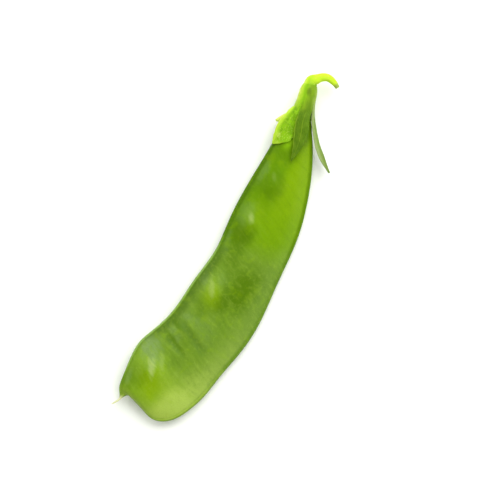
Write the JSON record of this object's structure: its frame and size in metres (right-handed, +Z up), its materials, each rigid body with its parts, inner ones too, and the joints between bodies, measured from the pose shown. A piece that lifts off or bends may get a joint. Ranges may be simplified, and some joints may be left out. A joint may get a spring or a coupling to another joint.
{
  "type": "flat-podded pea pod",
  "caption": "Fresh flat green pea pod with peas showing through the wall, a lobed green calyx, a hooked stem and a dried style.",
  "frame": {"origin": "centre of the footprint box, on the table that the pod lies on", "axes": "+X along the pod towards the stem, +Y across it towards the seam that carries the peas, +Z up"},
  "size_m": [0.0966, 0.0238, 0.007],
  "materials": {
    "pod_skin": "waxy, softly satin, yellow-green to grey-green",
    "calyx_leaf": "matt leaf, lime to grey-green",
    "stem_skin": "smooth, bright lime green, olive at the cut end"
  },
  "bodies": {
    "root": {"pod": "pod_skin", "calyx": "calyx_leaf", "stem": "stem_skin"}
  },
  "joints": []
}
